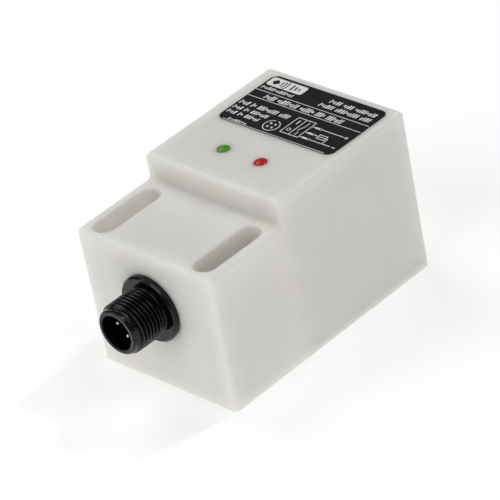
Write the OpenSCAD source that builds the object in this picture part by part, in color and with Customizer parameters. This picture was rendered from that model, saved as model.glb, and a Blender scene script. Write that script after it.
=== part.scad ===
// Block-style inductive proximity sensor with an M12 connector.
// X runs across the body, Y from the connector end to the sensing end, Z up.
// The origin is the middle of the bottom mounting face. All sizes are in millimetres.

/* [Body] */
// Width of the body across the two mounting slots
body_w = 40; // [40:0.5:52]
// Length of the body from the connector face to the sensing face
body_l = 63; // [58:0.5:90]
// Height of the body at the sensing end
body_h = 40; // [38:0.5:52]
// Height of the low shelf that carries the mounting slots
shelf_h = 34; // [32:0.5:36]
// Length of the low shelf
shelf_l = 22.5; // [21:0.5:28]
// Radius of the upright edges and of the top edges
edge_r = 1.2; // [0.6:0.1:2]
// Radius in the inner corner where the step meets the shelf
step_fillet_r = 0.8; // [0.3:0.1:1.5]

/* [Walls] */
// Thickness of the side walls and of the wall under the step
side_wall = 2.4; // [2:0.1:3]
// Thickness of the top wall over the electronics
top_wall = 2.6; // [1.6:0.1:3]
// Thickness of the connector wall
front_wall = 3; // [2.5:0.1:4]
// Thickness of the wall in front of the sensing coil
rear_wall = 2.2; // [1.8:0.1:3]
// Thickness of the bottom cover
cover_t = 2.4; // [1.6:0.1:3]
// Width of the ledge that the bottom cover is glued to
ledge_w = 0.9; // [0.6:0.1:1.2]

/* [Mounting slots] */
// Distance between the middles of the two slots
slot_spacing = 30; // [29:0.5:32]
// Width of each slot, clearance for an M5 screw
slot_w = 5.5; // [4.5:0.1:5.6]
// Length of each slot from end to end
slot_l = 18.5; // [12:0.5:19]
// Distance from the connector face to the near end of each slot
slot_inset = 1.6; // [1.2:0.1:3]
// Wall between a slot and the inside of the housing
slot_wall = 2.2; // [1.8:0.1:3]
// Radius on the upper rim of each slot
slot_rim_r = 0.5; // [0.2:0.1:0.8]

/* [Indicators and label] */
// Diameter of the indicator lamps
led_d = 3; // [2.5:0.1:4]
// Distance between the two indicator lamps
led_spacing = 11; // [8:0.5:16]
// Distance from the edge of the step to the lamps
led_inset = 10.2; // [8:0.1:14]
// Height of the domed tip above the top face
led_dome_h = 0.4; // [0.2:0.05:0.8]
// Width of the label
label_w = 33.6; // [24:0.2:34]
// Length of the label along the body
label_l = 19.2; // [14:0.2:20]
// Distance from the label's edge to the sensing face
label_inset = 2.3; // [1.5:0.1:4]
// Sideways offset of the label from the middle
label_offset = 0.8; // [0:0.1:1]
// Radius of the label's corners
label_r = 1.8; // [0.5:0.1:3]
// Thickness of the label foil
label_t = 0.15; // [0.1:0.05:0.3]

/* [Connector] */
// Height of the connector's axis above the mounting face
connector_z = 20.5; // [19:0.5:22]
// Outer diameter of the connector's thread
thread_d = 11.9; // [11.8:0.05:12]
// Pitch of the connector's thread
thread_pitch = 1; // [1:0.25:1.5]
// Length from the flange to the end of the connector
thread_l = 9.5; // [9:0.5:12]
// Diameter of the flange
flange_d = 16; // [15:0.5:17]
// Thickness of the flange
flange_t = 1.5; // [1.2:0.1:2.5]
// Diameter of the socket
socket_d = 8.4; // [8:0.1:8.8]
// Depth of the socket
socket_depth = 8.3; // [7:0.1:8.5]
// Diameter of the circle that the contacts stand on
contact_circle_d = 5; // [4.5:0.1:5]
// Diameter of a contact
contact_d = 1; // [0.8:0.1:1.2]
// Distance from the rim of the socket down to the contact tips
contact_recess = 2.5; // [1.5:0.1:3]
// Width across the flats of the lock nut
nut_flats = 15; // [14:0.5:16]
// Thickness of the lock nut
nut_t = 2.5; // [2:0.1:3]

/* [Circuit board] */
// Thickness of the circuit board
board_t = 1.6; // [1:0.2:1.6]
// Height of the underside of the board above the mounting face
board_z = 27.4; // [26.5:0.1:27.8]
// Gap between the board and the walls
board_gap = 1.1; // [0.6:0.1:1.5]
// Outer diameter of a wire
wire_d = 1.3; // [1:0.1:1.5]

/* [Sensing coil] */
// Outer diameter of the ferrite pot core
core_d = 30; // [24:0.5:30]
// Length of the core along its axis
core_l = 9.4; // [8:0.1:11]
// Diameter of the core's centre post
post_d = 13.3; // [10:0.1:14]
// Diameter of the hole through the core's centre post
post_bore_d = 5.5; // [3:0.1:6]
// Thickness of the core's outer wall
core_wall = 2.5; // [2:0.1:3]
// Thickness of the core's back
core_back = 2.9; // [2:0.1:3.5]

/* [Hidden] */

// Clearances between pieces
slip_gap = 0.05;
glue_gap = 0.1;
cut = 1;
curve_steps = 64;

// Main planes of the body
front_y = -body_l / 2;
rear_y = body_l / 2;
step_y = front_y + shelf_l;
slot_y = front_y + slot_inset + slot_l / 2;
slot_x = slot_spacing / 2;
led_y = step_y + led_inset;
label_y = rear_y - label_inset - label_l / 2;

// Inner chambers
chamber_r = 1;
rear_chamber_half_w = body_w / 2 - side_wall;
rear_chamber_y0 = step_y + side_wall;
rear_chamber_y1 = rear_y - rear_wall;
rear_ceiling = body_h - top_wall;
front_chamber_half_w = slot_x - slot_w / 2 - slot_wall;
front_chamber_y0 = front_y + front_wall;
front_ceiling = shelf_h - top_wall;

// Connector, measured outwards from the connector face
shell_end = flange_t + thread_l;
carrier_front = shell_end - socket_depth;
spigot_l = front_wall + nut_t + 1.5;
spigot_d = 11;
spigot_bore_d = socket_d - 1;
carrier_rear = -spigot_l - 0.8;
shell_chamfer = 0.75;
thread_depth = 0.61 * thread_pitch;
thread_start = flange_t + 0.6;
thread_turns = floor((shell_end - shell_chamfer - thread_start) / thread_pitch);
key_w = 0.9;
key_depth = 0.5;
key_angle = -45;
seal_d = 1;
seal_circle_d = flange_d - 2.1;
seal_groove_depth = 0.9;
solder_cup_l = 2.5;
solder_cup_d = 1.5;
conductor_d = 0.8;
contact_angles = [180, 90, 0, 270];

// Circuit board
board_top = board_z + board_t;
board_front_y = front_y - carrier_rear + 1.2;
board_tongue_half_w = front_chamber_half_w - board_gap;
board_half_w = rear_chamber_half_w - board_gap;
board_step_y = rear_chamber_y0 + board_gap;
wire_bend_r = 1.6;

// Sensing coil, with its back towards the connector
core_z = (cover_t + rear_ceiling) / 2;
core_gap = 0.2;
core_y = rear_chamber_y1 - core_gap - core_l;
window_r0 = post_d / 2;
window_r1 = core_d / 2 - core_wall;
lead_slot_w = 4;
lead_x = 1;
lead_d = 0.5;
lead_r = window_r1 - 1.8;
bobbin_wall = 0.6;
bobbin_l = core_l - core_back - 0.3;
bobbin_gap = 0.1;
winding_r1 = window_r1 - 0.7;

// Coil carrier
carrier_plate_t = 2;
collar_t = 1.3;
collar_l = core_l - 2;
carrier_plate_y = core_y - slip_gap - carrier_plate_t;
board_rear_y = carrier_plate_y - 1;
lead_hole_y = board_rear_y - 2;
rail_w = 2;
rail_h = 2;
stake_d = 1.8;
stake_inset = 3;
stake_x = board_half_w - rail_w / 2;
lead_exit_z = core_z + lead_r;
lead_board_z = board_top + 1.6;
lead_window_h = abs(lead_exit_z - lead_board_z) + 2.2;

// Resin level and indicator lamps
resin_top = connector_z - nut_flats * 0.577 - 1;
led_base_z = rear_ceiling - 2;
led_rim_t = 0.8;
led_rim_d = led_d + 0.8;
led_leg_w = 0.5;
led_leg_pitch = 2.54;
led_holder_z1 = led_base_z - slip_gap;

// Rounded rectangle centred on the origin, made of true arcs
module rounded_rect(w, l, r) {
    square([w - 2 * r, l], center = true);
    square([w, l - 2 * r], center = true);
    for (sx = [-1, 1], sy = [-1, 1])
        translate([sx * (w / 2 - r), sy * (l / 2 - r)]) circle(r, $fn = curve_steps);
}

// Rounded rectangle between two lengthwise limits
module plan_rect(half_w, y0, y1, r) {
    translate([0, (y0 + y1) / 2]) rounded_rect(2 * half_w, y1 - y0, r);
}

// Block with rounded upright edges and rounded top edges, and a sharp bottom
module soft_block(w, y0, y1, h, r) {
    l = y1 - y0;
    translate([0, (y0 + y1) / 2, 0]) {
        linear_extrude(h - r) rounded_rect(w, l, r);
        translate([0, 0, h / 2]) cube([w - 2 * r, l - 2 * r, h], center = true);
        for (s = [-1, 1]) {
            translate([s * (w / 2 - r), 0, h - r]) rotate([90, 0, 0])
                cylinder(h = l - 2 * r, r = r, center = true, $fn = curve_steps);
            translate([0, s * (l / 2 - r), h - r]) rotate([0, 90, 0])
                cylinder(h = w - 2 * r, r = r, center = true, $fn = curve_steps);
        }
        for (sx = [-1, 1], sy = [-1, 1])
            translate([sx * (w / 2 - r), sy * (l / 2 - r), h - r]) sphere(r, $fn = curve_steps);
    }
}

// Outline of the inside of the housing, grown by a margin
module chamber_outline(margin) {
    r = chamber_r;
    plan_rect(rear_chamber_half_w + margin, rear_chamber_y0 - margin, rear_chamber_y1 + margin, r);
    front_chamber_outline(margin);
}

module front_chamber_outline(margin) {
    plan_rect(front_chamber_half_w + margin, front_chamber_y0 - margin,
        rear_chamber_y0 + 3 * chamber_r, chamber_r);
}

// Plan of one mounting slot, with half-round ends
module slot_outline() {
    straight = slot_l - slot_w;
    square([slot_w, straight], center = true);
    for (s = [-1, 1]) translate([0, s * straight / 2]) circle(d = slot_w, $fn = curve_steps);
}

// Section of the material removed to round the upper rim of a slot
module rim_profile() {
    difference() {
        translate([slot_w / 2 - slot_rim_r, -slot_rim_r]) square([2 * slot_rim_r, slot_rim_r + cut]);
        translate([slot_w / 2 + slot_rim_r, -slot_rim_r]) circle(slot_rim_r, $fn = curve_steps);
    }
}

// Through slot with a rounded upper rim
module slot_cut() {
    straight = slot_l - slot_w;
    translate([0, 0, -cut]) linear_extrude(shelf_h + 2 * cut) slot_outline();
    translate([0, 0, shelf_h]) {
        for (s = [0, 180]) {
            rotate([0, 0, s]) translate([0, straight / 2, 0])
                rotate_extrude(angle = 180, $fn = curve_steps) rim_profile();
            rotate([0, 0, s]) rotate([90, 0, 0])
                linear_extrude(straight, center = true) rim_profile();
        }
    }
}

// Filler that softens the inner corner between the shelf and the step
module step_fillet() {
    r = step_fillet_r;
    translate([0, step_y, shelf_h]) rotate([90, 0, 90])
        linear_extrude(body_w - 2 * edge_r, center = true) difference() {
            translate([-r, -edge_r]) square([r + edge_r, r + edge_r]);
            translate([-r, r]) circle(r, $fn = curve_steps);
        }
}

module at_connector() {
    translate([0, front_y, connector_z]) rotate([90, 0, 0]) children();
}

module at_core() {
    translate([0, core_y, core_z]) rotate([-90, 0, 0]) children();
}

module at_leds() {
    for (s = [-1, 1]) translate([s * led_spacing / 2, led_y, 0]) children();
}

module housing() {
    color([0.84, 0.83, 0.81]) difference() {
        union() {
            soft_block(body_w, front_y, rear_y, shelf_h, edge_r);
            soft_block(body_w, step_y, rear_y, body_h, edge_r);
            step_fillet();
        }
        for (s = [-1, 1]) translate([s * slot_x, slot_y, 0]) slot_cut();
        translate([0, 0, -cut]) linear_extrude(cover_t + cut) chamber_outline(ledge_w);
        linear_extrude(rear_ceiling)
            plan_rect(rear_chamber_half_w, rear_chamber_y0, rear_chamber_y1, chamber_r);
        linear_extrude(front_ceiling) front_chamber_outline(0);
        at_connector() translate([0, 0, -front_wall - cut])
            cylinder(h = front_wall + 2 * cut, d = spigot_d + 2 * slip_gap, $fn = curve_steps);
        at_leds() translate([0, 0, rear_ceiling - cut])
            cylinder(h = top_wall + 2 * cut, d = led_d + 2 * slip_gap, $fn = curve_steps);
    }
}

module bottom_cover() {
    color([0.8, 0.79, 0.77]) linear_extrude(cover_t - slip_gap)
        chamber_outline(ledge_w - glue_gap);
}

module label() {
    color([0.1, 0.1, 0.1]) translate([label_offset, label_y, body_h])
        linear_extrude(label_t) rounded_rect(label_w, label_l, label_r);
}

// Indicator lamp: rim, barrel with a shallow dome, and two legs through the board
module led(side) {
    dome_r = (led_d * led_d / 4 + led_dome_h * led_dome_h) / (2 * led_dome_h);
    tip = body_h + led_dome_h;
    translate([side * led_spacing / 2, led_y, 0]) {
        translate([0, 0, led_base_z]) cylinder(h = led_rim_t, d = led_rim_d, $fn = curve_steps);
        intersection() {
            translate([0, 0, led_base_z]) cylinder(h = tip, d = led_d, $fn = curve_steps);
            translate([0, 0, tip - dome_r]) sphere(dome_r, $fn = curve_steps);
        }
        translate([0, 0, led_base_z + led_rim_t])
            cylinder(h = body_h - led_base_z - led_rim_t, d = led_d, $fn = curve_steps);
        for (s = [-1, 1]) translate([s * led_leg_pitch / 2, 0, (board_z - 1 + led_base_z) / 2])
            cube([led_leg_w, led_leg_w, led_base_z - board_z + 1], center = true);
    }
}

module led_green() {
    color([0.3, 0.65, 0.25]) led(-1);
}

module led_red() {
    color([0.75, 0.12, 0.15]) led(1);
}

// Half section of the connector shell, drawn as radius and distance from the connector face
module shell_profile() {
    r = thread_d / 2;
    root = r - thread_depth;
    flat = thread_pitch / 8;
    polygon(concat(
        [[spigot_bore_d / 2, -spigot_l], [spigot_d / 2, -spigot_l], [spigot_d / 2, 0],
         [flange_d / 2, 0], [flange_d / 2, flange_t * 0.6], [flange_d / 2 - 0.4, flange_t],
         [root, flange_t], [root, thread_start]],
        [for (i = [0 : thread_turns - 1], p = [[root, 0.25], [r, 0.5], [r, 0.5 + 1 / 8], [root, 0.875]])
            [p[0], thread_start + (i + p[1]) * thread_pitch]],
        [[root, shell_end - shell_chamfer / 2], [root - shell_chamfer / 3, shell_end],
         [socket_d / 2 + 0.15, shell_end], [socket_d / 2, shell_end - 0.3],
         [socket_d / 2, 0], [spigot_bore_d / 2, 0]]
    ));
}

module connector_shell() {
    color([0.1, 0.1, 0.1]) at_connector() {
        difference() {
            rotate_extrude($fn = curve_steps) shell_profile();
            rotate_extrude($fn = curve_steps) translate([seal_circle_d / 2, 0])
                square([seal_d, 2 * seal_groove_depth], center = true);
        }
        rotate([0, 0, key_angle]) translate([socket_d / 2 - key_depth, -key_w / 2, carrier_front + slip_gap])
            cube([key_depth + 0.3, key_w, socket_depth - 1]);
    }
}

// Sealing ring pressed into the groove behind the flange
module connector_seal() {
    color([0.15, 0.15, 0.16]) at_connector() rotate_extrude($fn = curve_steps)
        translate([seal_circle_d / 2, seal_groove_depth / 2])
            square([seal_d - 2 * slip_gap, seal_groove_depth], center = true);
}

module lock_nut() {
    color([0.75, 0.72, 0.6]) at_connector() translate([0, 0, -front_wall - nut_t]) difference() {
        cylinder(h = nut_t, d = nut_flats / cos(30), $fn = 6);
        translate([0, 0, -cut]) cylinder(h = nut_t + 2 * cut, d = spigot_d + 2 * slip_gap, $fn = curve_steps);
    }
}

module at_contacts() {
    for (a = contact_angles) rotate([0, 0, a]) translate([contact_circle_d / 2, 0, 0]) children();
}

// Insulating insert that holds the four contacts
module contact_carrier() {
    color([0.12, 0.12, 0.12]) at_connector() difference() {
        union() {
            translate([0, 0, slip_gap])
                cylinder(h = carrier_front - slip_gap, d = socket_d - 2 * slip_gap, $fn = curve_steps);
            translate([0, 0, carrier_rear])
                cylinder(h = slip_gap - carrier_rear, d = spigot_bore_d - 2 * slip_gap, $fn = curve_steps);
        }
        at_contacts() translate([0, 0, carrier_rear - cut])
            cylinder(h = carrier_front - carrier_rear + 2 * cut, d = contact_d + 2 * slip_gap, $fn = curve_steps);
    }
}

// One contact: rounded tip, straight pin and a solder cup behind the carrier
module contact_pin(i) {
    tip = shell_end - contact_recess - contact_d / 2;
    color([0.85, 0.8, 0.6]) at_connector() rotate([0, 0, contact_angles[i]])
        translate([contact_circle_d / 2, 0, 0]) {
            translate([0, 0, tip]) sphere(d = contact_d, $fn = curve_steps);
            translate([0, 0, carrier_rear]) cylinder(h = tip - carrier_rear, d = contact_d, $fn = curve_steps);
            translate([0, 0, carrier_rear - solder_cup_l]) difference() {
                cylinder(h = solder_cup_l, d = solder_cup_d, $fn = curve_steps);
                translate([0, 0, -cut])
                    cylinder(h = solder_cup_l - 0.6 + cut, d = conductor_d + 2 * slip_gap, $fn = curve_steps);
            }
        }
}

// Position across the body and height of contact i
function contact_x(i) = contact_circle_d / 2 * cos(contact_angles[i]);
function contact_z(i) = connector_z + contact_circle_d / 2 * sin(contact_angles[i]);

// Distance along the body at which wire i turns up to the board
function wire_y(i) = front_y - carrier_rear + solder_cup_l + 3.2 + (contact_z(i) < connector_z - 1 ? 3 : 0);

// Insulated wire from a solder cup, round one bend and up through the board
module wire(i) {
    x = contact_x(i);
    z = contact_z(i);
    up_y = wire_y(i);
    cup_y = front_y - carrier_rear + solder_cup_l;
    start_y = cup_y + 0.3;
    bend_y = up_y - wire_bend_r;
    bend_z = z + wire_bend_r;
    top_z = board_z - 0.3;
    translate([x, start_y, z]) rotate([-90, 0, 0])
        cylinder(h = bend_y - start_y, d = wire_d, $fn = curve_steps);
    translate([x, bend_y, bend_z]) rotate([0, 90, 0])
        rotate_extrude(angle = 90, $fn = curve_steps) translate([wire_bend_r, 0])
            circle(d = wire_d, $fn = curve_steps);
    translate([x, up_y, bend_z]) cylinder(h = top_z - bend_z, d = wire_d, $fn = curve_steps);
    translate([x, cup_y - 1.6, z]) rotate([-90, 0, 0])
        cylinder(h = 2, d = conductor_d, $fn = curve_steps);
    translate([x, up_y, top_z - 0.1])
        cylinder(h = board_top + 0.5 - top_z + 0.1, d = conductor_d, $fn = curve_steps);
}

module at_stakes() {
    for (sx = [-1, 1], y = [board_step_y + stake_inset, board_rear_y - stake_inset])
        translate([sx * stake_x, y, 0]) children();
}

// Board drilled for the wires, the lamps' legs, the coil leads and the carrier's stakes
module circuit_board() {
    color([0.1, 0.4, 0.2]) translate([0, 0, board_z]) difference() {
        linear_extrude(board_t) {
            plan_rect(board_half_w, board_step_y, board_rear_y, 0.8);
            plan_rect(board_tongue_half_w, board_front_y, board_step_y + 2, 0.8);
        }
        for (i = [0 : 3]) translate([contact_x(i), wire_y(i), -cut])
            cylinder(h = board_t + 2 * cut, d = conductor_d + 2 * slip_gap, $fn = curve_steps);
        at_leds() for (s = [-1, 1]) translate([s * led_leg_pitch / 2, 0, -cut])
            cylinder(h = board_t + 2 * cut, d = led_leg_w * 1.6, $fn = curve_steps);
        for (s = [-1, 1]) translate([s * lead_x, lead_hole_y, -cut])
            cylinder(h = board_t + 2 * cut, d = lead_d + 2 * slip_gap, $fn = curve_steps);
        at_stakes() translate([0, 0, -cut])
            cylinder(h = board_t + 2 * cut, d = stake_d + 2 * slip_gap, $fn = curve_steps);
    }
}

// Spacer that keeps both lamps at their height above the board
module led_holder() {
    w = led_spacing + led_rim_d + 2;
    l = led_rim_d + 1;
    color([0.15, 0.15, 0.15]) difference() {
        translate([0, led_y, board_top]) linear_extrude(led_holder_z1 - board_top)
            rounded_rect(w, l, 0.8);
        at_leds() for (s = [-1, 1]) translate([s * led_leg_pitch / 2, 0, 0])
            cylinder(h = body_h, d = led_leg_w * 1.6, $fn = curve_steps);
    }
}

// Moulded package with bent legs along its two long sides
module leaded_package(l, w, h, legs, pitch) {
    leg_w = 0.4;
    leg_t = 0.2;
    reach = 1;
    body_bite = 0.1;
    standoff = 0.1;
    translate([0, 0, standoff + h / 2]) cube([l, w, h], center = true);
    for (s = [-1, 1], i = [0 : legs - 1]) translate([(i - (legs - 1) / 2) * pitch, s * w / 2, 0]) {
        translate([0, s * (reach - body_bite) / 4, h / 2])
            cube([leg_w, reach / 2 + 1.5 * body_bite, leg_t], center = true);
        translate([0, s * reach / 2, h / 4 + leg_t / 4]) cube([leg_w, leg_t, h / 2 + leg_t / 2], center = true);
        translate([0, s * reach * 0.75, leg_t / 2]) cube([leg_w, reach / 2, leg_t], center = true);
    }
}

// Small block with a metal cap round each end
module capped_chip(l, w, h) {
    cap_l = l * 0.22;
    wrap = 0.04;
    translate([0, 0, wrap + h / 2]) cube([l - 2 * wrap, w, h], center = true);
    for (s = [-1, 1]) translate([s * (l - cap_l) / 2, 0, h / 2 + wrap])
        cube([cap_l, w + 2 * wrap, h + 2 * wrap], center = true);
}

module sensor_chip() {
    color([0.12, 0.12, 0.13]) translate([0, board_rear_y - 6.6, board_top])
        leaded_package(4.9, 3.9, 1.5, 4, 1.27);
}

module voltage_regulator() {
    color([0.12, 0.12, 0.13]) translate([board_half_w - 5.5, board_rear_y - 5, board_top])
        leaded_package(4.5, 2.5, 1.5, 3, 1.5);
}

module output_transistors() {
    color([0.12, 0.12, 0.13]) for (s = [-1, 1])
        translate([s * (board_half_w - 5.2), led_y - 1.2, board_top]) leaded_package(4.5, 2.5, 1.5, 3, 1.5);
}

module protection_diodes() {
    spots = [[-1, 5.5], [1, 5.5], [0, 8.6]];
    color([0.14, 0.14, 0.15]) for (p = spots)
        translate([p[0] * (board_tongue_half_w - 2.7), wire_y(0) + p[1], board_top]) capped_chip(4.2, 2.6, 1.9);
}

module buffer_capacitor() {
    color([0.85, 0.6, 0.15]) translate([0, led_y - 5.2, board_top]) capped_chip(3.5, 2.8, 1.9);
}

module ceramic_capacitors() {
    color([0.7, 0.55, 0.4]) for (s = [-1, 1], k = [0 : 2])
        translate([s * (5.2 + 2.9 * k), led_y + 5.6, board_top]) capped_chip(2, 1.25, 1);
}

module resistors() {
    color([0.15, 0.15, 0.2]) for (row = [0, 1], k = [-3 : 3])
        translate([3.1 * k, led_y + 4 + 3 * row, board_z]) mirror([0, 0, 1]) capped_chip(2, 1.25, 0.5);
}

// Carrier with a plate and collar for the core and two rails that hold the board
module coil_carrier() {
    plate_half_w = rear_chamber_half_w - 0.3;
    plate_h = rear_ceiling - cover_t - 0.6;
    color([0.2, 0.25, 0.35]) {
        difference() {
            union() {
                translate([0, carrier_plate_y + carrier_plate_t, core_z]) rotate([90, 0, 0])
                    linear_extrude(carrier_plate_t) rounded_rect(2 * plate_half_w, plate_h, chamber_r);
                at_core() translate([0, 0, -slip_gap - 0.5])
                    cylinder(h = collar_l + 0.5, d = core_d + 2 * (slip_gap + collar_t), $fn = curve_steps);
            }
            at_core() translate([0, 0, -slip_gap])
                cylinder(h = collar_l + cut, d = core_d + 2 * slip_gap, $fn = curve_steps);
            translate([0, carrier_plate_y + carrier_plate_t / 2, (lead_exit_z + lead_board_z) / 2])
                cube([lead_slot_w, carrier_plate_t + 2 * cut, lead_window_h], center = true);
        }
        for (s = [-1, 1]) translate([s * stake_x, (board_step_y + carrier_plate_y) / 2, board_z - rail_h / 2])
            cube([rail_w, carrier_plate_y - board_step_y, rail_h], center = true);
        at_stakes() {
            translate([0, 0, board_z - 0.2]) cylinder(h = board_t + 0.8, d = stake_d, $fn = curve_steps);
            translate([0, 0, board_top]) cylinder(h = 0.6, d = stake_d + 1.2, $fn = curve_steps);
        }
    }
}

// Pot core, open towards the sensing face, with two opposite slots for the coil leads
module ferrite_core() {
    color([0.25, 0.25, 0.27]) at_core() difference() {
        cylinder(h = core_l, d = core_d, $fn = curve_steps);
        translate([0, 0, core_back]) difference() {
            cylinder(h = core_l, r = window_r1, $fn = curve_steps);
            translate([0, 0, -cut]) cylinder(h = core_l + 2 * cut, r = window_r0, $fn = curve_steps);
        }
        translate([0, 0, -cut]) cylinder(h = core_l + 2 * cut, d = post_bore_d, $fn = curve_steps);
        for (s = [-1, 1]) translate([0, s * (lead_r - 1 + core_d / 2), core_l / 2])
            cube([lead_slot_w, core_d, core_l + 2 * cut], center = true);
    }
}

module coil_bobbin() {
    hub_r0 = window_r0 + bobbin_gap;
    flange_r = window_r1 - bobbin_gap;
    color([0.9, 0.9, 0.88]) at_core() translate([0, 0, core_back + bobbin_gap]) difference() {
        rotate_extrude($fn = curve_steps) {
            translate([hub_r0, 0]) square([bobbin_wall, bobbin_l]);
            for (z = [0, bobbin_l - bobbin_wall]) translate([hub_r0, z]) square([flange_r - hub_r0, bobbin_wall]);
        }
        translate([0, -lead_r - core_d / 2 + 1, -cut])
            translate([-lead_slot_w / 2, -core_d / 2, 0]) cube([lead_slot_w, core_d, bobbin_wall + cut]);
    }
}

module coil_winding() {
    r0 = window_r0 + bobbin_gap + bobbin_wall;
    l = bobbin_l - 2 * bobbin_wall;
    color([0.75, 0.4, 0.2]) at_core() translate([0, 0, core_back + bobbin_gap + bobbin_wall]) difference() {
        cylinder(h = l, r = winding_r1, $fn = curve_steps);
        translate([0, 0, -cut]) cylinder(h = l + 2 * cut, r = r0, $fn = curve_steps);
    }
}

// Straight round wire between two points, each given as distance along the body and height
module wire_piece(from, to, d) {
    run = to - from;
    translate([0, from[0], from[1]]) rotate([atan2(run[1], run[0]) - 90, 0, 0])
        cylinder(h = norm(run), d = d, $fn = curve_steps);
}

// The two ends of the winding, led back over the board and down through it
module coil_leads() {
    winding_y = core_y + core_back + bobbin_gap + bobbin_wall;
    points = [[winding_y, lead_exit_z], [winding_y - 0.8, lead_exit_z],
        [lead_hole_y, lead_board_z], [lead_hole_y, board_z - 0.6]];
    joint_d = lead_d * 1.15;
    color([0.8, 0.45, 0.25]) for (s = [-1, 1]) translate([s * lead_x, 0, 0]) {
        for (i = [0 : 2]) wire_piece(points[i], points[i + 1], lead_d);
        for (i = [1, 2]) translate([0, points[i][0], points[i][1]]) sphere(d = joint_d, $fn = curve_steps);
    }
}

// Resin poured over the cover, up to below the lock nut
module potting_resin() {
    z0 = cover_t - slip_gap;
    color([0.25, 0.24, 0.22]) translate([0, 0, z0]) linear_extrude(resin_top - z0) difference() {
        chamber_outline(0);
        translate([-body_w / 2, carrier_plate_y - slip_gap]) square([body_w, body_l]);
    }
}

housing();
bottom_cover();
label();
led_green();
led_red();
connector_shell();
connector_seal();
lock_nut();
contact_carrier();
contact_pin(0);  // contact_pin_1
contact_pin(1);  // contact_pin_2
contact_pin(2);  // contact_pin_3
contact_pin(3);  // contact_pin_4
color([0.4, 0.25, 0.15]) wire(0);  // wire_brown
color([0.9, 0.9, 0.9]) wire(1);  // wire_white
color([0.15, 0.3, 0.65]) wire(2);  // wire_blue
color([0.1, 0.1, 0.1]) wire(3);  // wire_black
circuit_board();
led_holder();
sensor_chip();
voltage_regulator();
output_transistors();
protection_diodes();
buffer_capacitor();
ceramic_capacitors();
resistors();
coil_carrier();
ferrite_core();
coil_bobbin();
coil_winding();
coil_leads();
potting_resin();
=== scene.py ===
"""Visual model of a block-shaped proximity sensor with a round threaded plug connector.

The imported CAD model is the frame. What can be seen is rebuilt here as finer meshes in the same
place, and what lies inside keeps its CAD shape and gets a material of its own.
"""

import math

import bmesh
import bpy
from mathutils import Matrix, Vector


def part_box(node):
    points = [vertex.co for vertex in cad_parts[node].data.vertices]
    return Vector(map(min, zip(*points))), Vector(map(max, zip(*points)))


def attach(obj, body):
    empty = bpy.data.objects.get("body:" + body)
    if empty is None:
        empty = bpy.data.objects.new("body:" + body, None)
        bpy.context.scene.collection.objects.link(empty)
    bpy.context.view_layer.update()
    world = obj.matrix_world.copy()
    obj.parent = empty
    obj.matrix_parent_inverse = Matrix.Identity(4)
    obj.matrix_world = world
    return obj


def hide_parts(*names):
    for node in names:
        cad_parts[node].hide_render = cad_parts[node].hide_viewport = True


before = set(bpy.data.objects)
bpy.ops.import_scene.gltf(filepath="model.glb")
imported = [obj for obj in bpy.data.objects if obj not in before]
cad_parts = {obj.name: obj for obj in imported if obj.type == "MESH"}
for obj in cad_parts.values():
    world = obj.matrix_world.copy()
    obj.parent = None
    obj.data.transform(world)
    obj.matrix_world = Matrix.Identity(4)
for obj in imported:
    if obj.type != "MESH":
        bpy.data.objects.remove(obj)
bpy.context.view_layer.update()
MM = 0.001


# ------------------------------------------------------------ outlines, as lists of (x, y) points

def arc(x, y, radius, start, end, steps):
    """Points on a circle from one angle in degrees to another, both ends included."""
    angles = [math.radians(start + (end - start) * i / steps) for i in range(steps + 1)]
    return [(x + radius * math.cos(a), y + radius * math.sin(a)) for a in angles]


def circle(x, y, radius, steps=48):
    return arc(x, y, radius, 0, 360, steps)[:-1]


def rounded_rectangle(x0, y0, x1, y1, radius, steps=8):
    corners = ((x1, y0, 270), (x1, y1, 0), (x0, y1, 90), (x0, y0, 180))
    points = []
    for x, y, start in corners:
        inner_x = x - math.copysign(radius, x - (x0 + x1) / 2)
        inner_y = y - math.copysign(radius, y - (y0 + y1) / 2)
        points += arc(inner_x, inner_y, radius, start, start + 90, steps)
    return points


def stadium(x, y, width, length, steps=24):
    """A slot along Y with half-round ends."""
    half = (length - width) / 2
    return arc(x, y + half, width / 2, 0, 180, steps) + arc(x, y - half, width / 2, 180, 360, steps)


def arc_band(x, y, inner, outer, start, end, steps=12):
    return arc(x, y, outer, start, end, steps) + arc(x, y, inner, end, start, steps)


def stroke(points, width):
    """The outline of a line drawn with a pen of that width, with mitred corners."""
    path = [Vector(p) for p in points]
    sides = []
    for i, here in enumerate(path):
        before = (here - path[i - 1]).normalized() if i else (path[1] - here).normalized()
        after = (path[i + 1] - here).normalized() if i < len(path) - 1 else before
        along = (before + after).normalized()
        across = Vector((-along.y, along.x))
        sides.append(across * (width / 2 / max(along.dot(before), 0.3)))
    left = [here + side for here, side in zip(path, sides)]
    right = [here - side for here, side in zip(path, sides)]
    return [tuple(p) for p in left + right[::-1]]


# ------------------------------------------------------------ solids, added to a bmesh

def prism(bm, outline, low, high):
    """A closed solid of that outline between two heights."""
    loft(bm, [[(x, y, z) for x, y in outline] for z in (low, high)])


def loft(bm, rings):
    """A closed solid through rings that all have the same number of points."""
    rows = [[bm.verts.new(point) for point in ring] for ring in rings]
    count = len(rows[0])
    for lower, upper in zip(rows, rows[1:]):
        for i in range(count):
            j = (i + 1) % count
            bm.faces.new((lower[i], lower[j], upper[j], upper[i]))
    bm.faces.new(rows[0][::-1])
    bm.faces.new(rows[-1])


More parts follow.
